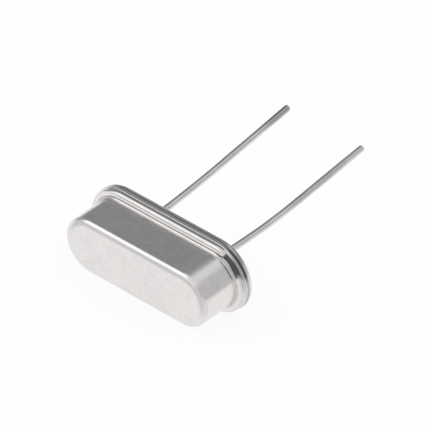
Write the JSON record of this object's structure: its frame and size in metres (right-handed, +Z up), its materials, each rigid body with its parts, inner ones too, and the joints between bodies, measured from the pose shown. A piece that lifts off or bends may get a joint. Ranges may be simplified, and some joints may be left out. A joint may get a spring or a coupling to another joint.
{
  "type": "quartz crystal unit",
  "caption": "Low-profile quartz crystal unit: flat oval metal can welded to a flanged base with two glass-sealed wire leads, lying on its side.",
  "frame": {"origin": "on the surface the unit lies on, under the middle of its bounding box", "axes": "+Z up; +X along the long side of the can; +Y towards the tips of the leads, which rise 10.1 degrees from level before their own small lean and slow bend, because the unit lies on the edges of its can and flange"},
  "size_m": [0.011, 0.0162, 0.0052],
  "materials": {
    "can_metal": "satin nickel plate",
    "base_metal": "satin nickel plate",
    "lead_metal": "tinned wire",
    "seal_glass": "dark fused glass",
    "clip_metal": "bright nickel silver strip",
    "quartz": "clear lapped quartz",
    "silver_film": "evaporated silver",
    "silver_epoxy": "silver-filled adhesive"
  },
  "bodies": {
    "root": {"can_cover": "can_metal", "base_header": "base_metal", "glass_seal_left": "seal_glass", "glass_seal_right": "seal_glass", "lead_left": "lead_metal", "lead_right": "lead_metal", "spring_clip_left": "clip_metal", "spring_clip_right": "clip_metal", "quartz_blank": "quartz", "electrode_front": "silver_film", "electrode_back": "silver_film", "bond_left": "silver_epoxy", "bond_right": "silver_epoxy"}
  },
  "joints": []
}
